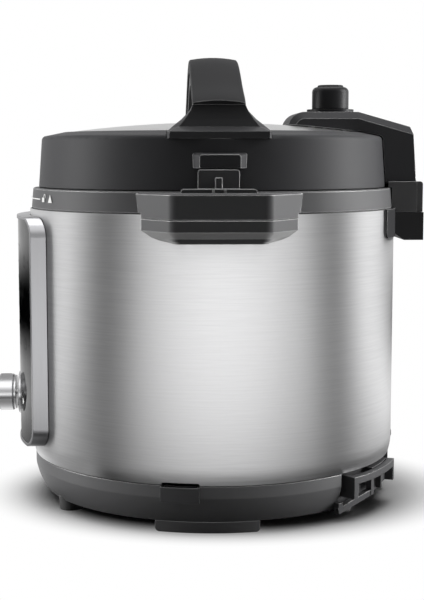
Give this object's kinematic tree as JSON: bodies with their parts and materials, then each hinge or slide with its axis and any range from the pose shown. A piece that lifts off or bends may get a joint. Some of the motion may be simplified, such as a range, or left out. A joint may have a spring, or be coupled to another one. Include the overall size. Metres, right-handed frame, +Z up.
{
  "type": "electric pressure cooker",
  "caption": "Upright electric cooker: brushed steel drum on a black base, twist-lock lid on a rear hinge, bridge handle, steam valve, condensate cup and curved front panel with a dial.",
  "frame": {"origin": "on the pot axis, in the plane of the table that the feet stand on", "axes": "+Z up along the pot axis; -Y to the control panel; +Y to the lid hinge; +X to the side handle that carries the sensor post"},
  "size_m": [0.324, 0.332, 0.3432],
  "materials": {
    "brushed_drum": "fine horizontal brushing",
    "black_moulding": "matt, finely textured",
    "gloss_black": "polished",
    "foot_rubber": "matt",
    "silicone": "satin",
    "bright_steel": "satin",
    "panel_aluminium": "brushed",
    "panel_black_glass": "polished",
    "display_glass": "polished",
    "dial_chrome": "polished",
    "pin_brass": "plain",
    "board_green": "solder mask"
  },
  "bodies": {
    "housing": {"feet": "foot_rubber", "side_pads": "black_moulding", "base_shell": "black_moulding", "housing_screws": "bright_steel", "spoon_slot": "black_moulding", "cord_brackets": "black_moulding", "power_inlet": "black_moulding", "inlet_pins": "pin_brass", "rear_bumper": "foot_rubber", "steel_drum": "brushed_drum", "collar": "black_moulding", "handle_covers": "black_moulding", "sensor_post": "black_moulding", "inner_pot": "bright_steel", "liner": "panel_aluminium", "locking_flange": "bright_steel", "heating_plate": "panel_aluminium", "heating_element": "bright_steel", "thermal_fuse": "bright_steel", "sensor_holder": "black_moulding", "sensor_spring": "bright_steel", "power_board": "board_green", "panel_frame": "panel_aluminium", "panel_glass": "panel_black_glass", "panel_carrier": "black_moulding", "display": "display_glass", "control_board": "board_green", "encoder": "black_moulding", "dial_bezel": "dial_chrome", "hinge_pin": "bright_steel", "hinge_block": "black_moulding", "back_plate": "black_moulding"},
    "pot_sensor": {"pot_sensor": "bright_steel"},
    "encoder_plunger": {"encoder_plunger": "black_moulding"},
    "dial": {"dial": "dial_chrome", "dial_shaft": "bright_steel"},
    "start_button": {"start_button": "gloss_black"},
    "cancel_button": {"cancel_button": "gloss_black"},
    "condensate_cup": {"condensate_cup": "gloss_black"},
    "lid": {"arm_shell": "black_moulding", "arm_under_cover": "black_moulding", "arm_screws": "bright_steel", "hinge_bushes": "pin_brass", "lid_dome": "bright_steel", "lid_core": "black_moulding", "pressure_lid": "bright_steel", "gasket": "silicone", "vent_pipe": "bright_steel", "steam_shield": "bright_steel", "valve_seat": "gloss_black"},
    "valve_weight": {"valve_weight": "bright_steel"},
    "steam_knob": {"steam_knob": "gloss_black"},
    "float_pin": {"float_pin": "bright_steel"},
    "lid_ring": {"lid_ring": "black_moulding", "locking_ring": "bright_steel", "retainer_ring": "bright_steel", "ring_hood": "black_moulding", "handle_grip": "black_moulding", "handle_foot_cover": "black_moulding", "handle_screws": "bright_steel"}
  },
  "joints": [
    {"name": "lid_hinge", "type": "hinge", "parent": "housing", "child": "lid", "pos_m": [0, 0.15, 0.235], "axis": [-1, 0, 0], "range_deg": [0, 90]},
    {"name": "ring_twist", "type": "hinge", "parent": "lid", "child": "lid_ring", "pos_m": [0, 0, 0.26], "axis": [0, 0, -1], "range_deg": [0, 30]},
    {"name": "valve_lift", "type": "slide", "parent": "lid", "child": "valve_weight", "axis": [0, 0, 1], "range_m": [0, 0.005]},
    {"name": "knob_turn", "type": "hinge", "parent": "valve_weight", "child": "steam_knob", "pos_m": [0, 0.0934, 0.31], "axis": [0, 0, 1], "range_deg": [0, 60]},
    {"name": "float_rise", "type": "slide", "parent": "lid", "child": "float_pin", "axis": [0, 0, 1], "range_m": [0, 0.004]},
    {"name": "dial_push", "type": "slide", "parent": "housing", "child": "encoder_plunger", "axis": [0, 1, 0], "range_m": [0, 0.0015], "stiffness_N_per_m": 600, "springref_m": -0.001},
    {"name": "dial_turn", "type": "hinge", "parent": "encoder_plunger", "child": "dial", "pos_m": [0, -0.16, 0.0795], "axis": [0, 1, 0], "continuous": true},
    {"name": "start_press", "type": "slide", "parent": "housing", "child": "start_button", "axis": [-0.2672, 0.9636, 0], "range_m": [0, 0.0008], "stiffness_N_per_m": 600, "springref_m": -0.001},
    {"name": "cancel_press", "type": "slide", "parent": "housing", "child": "cancel_button", "axis": [0.2672, 0.9636, 0], "range_m": [0, 0.0008], "stiffness_N_per_m": 600, "springref_m": -0.001},
    {"name": "cup_slide", "type": "slide", "parent": "housing", "child": "condensate_cup", "axis": [0, 1, 0], "range_m": [0, 0.03]},
    {"name": "sensor_press", "type": "slide", "parent": "housing", "child": "pot_sensor", "axis": [0, 0, -1], "range_m": [0, 0.002], "stiffness_N_per_m": 400, "springref_m": -0.003, "deforming": ["sensor_spring"]}
  ]
}
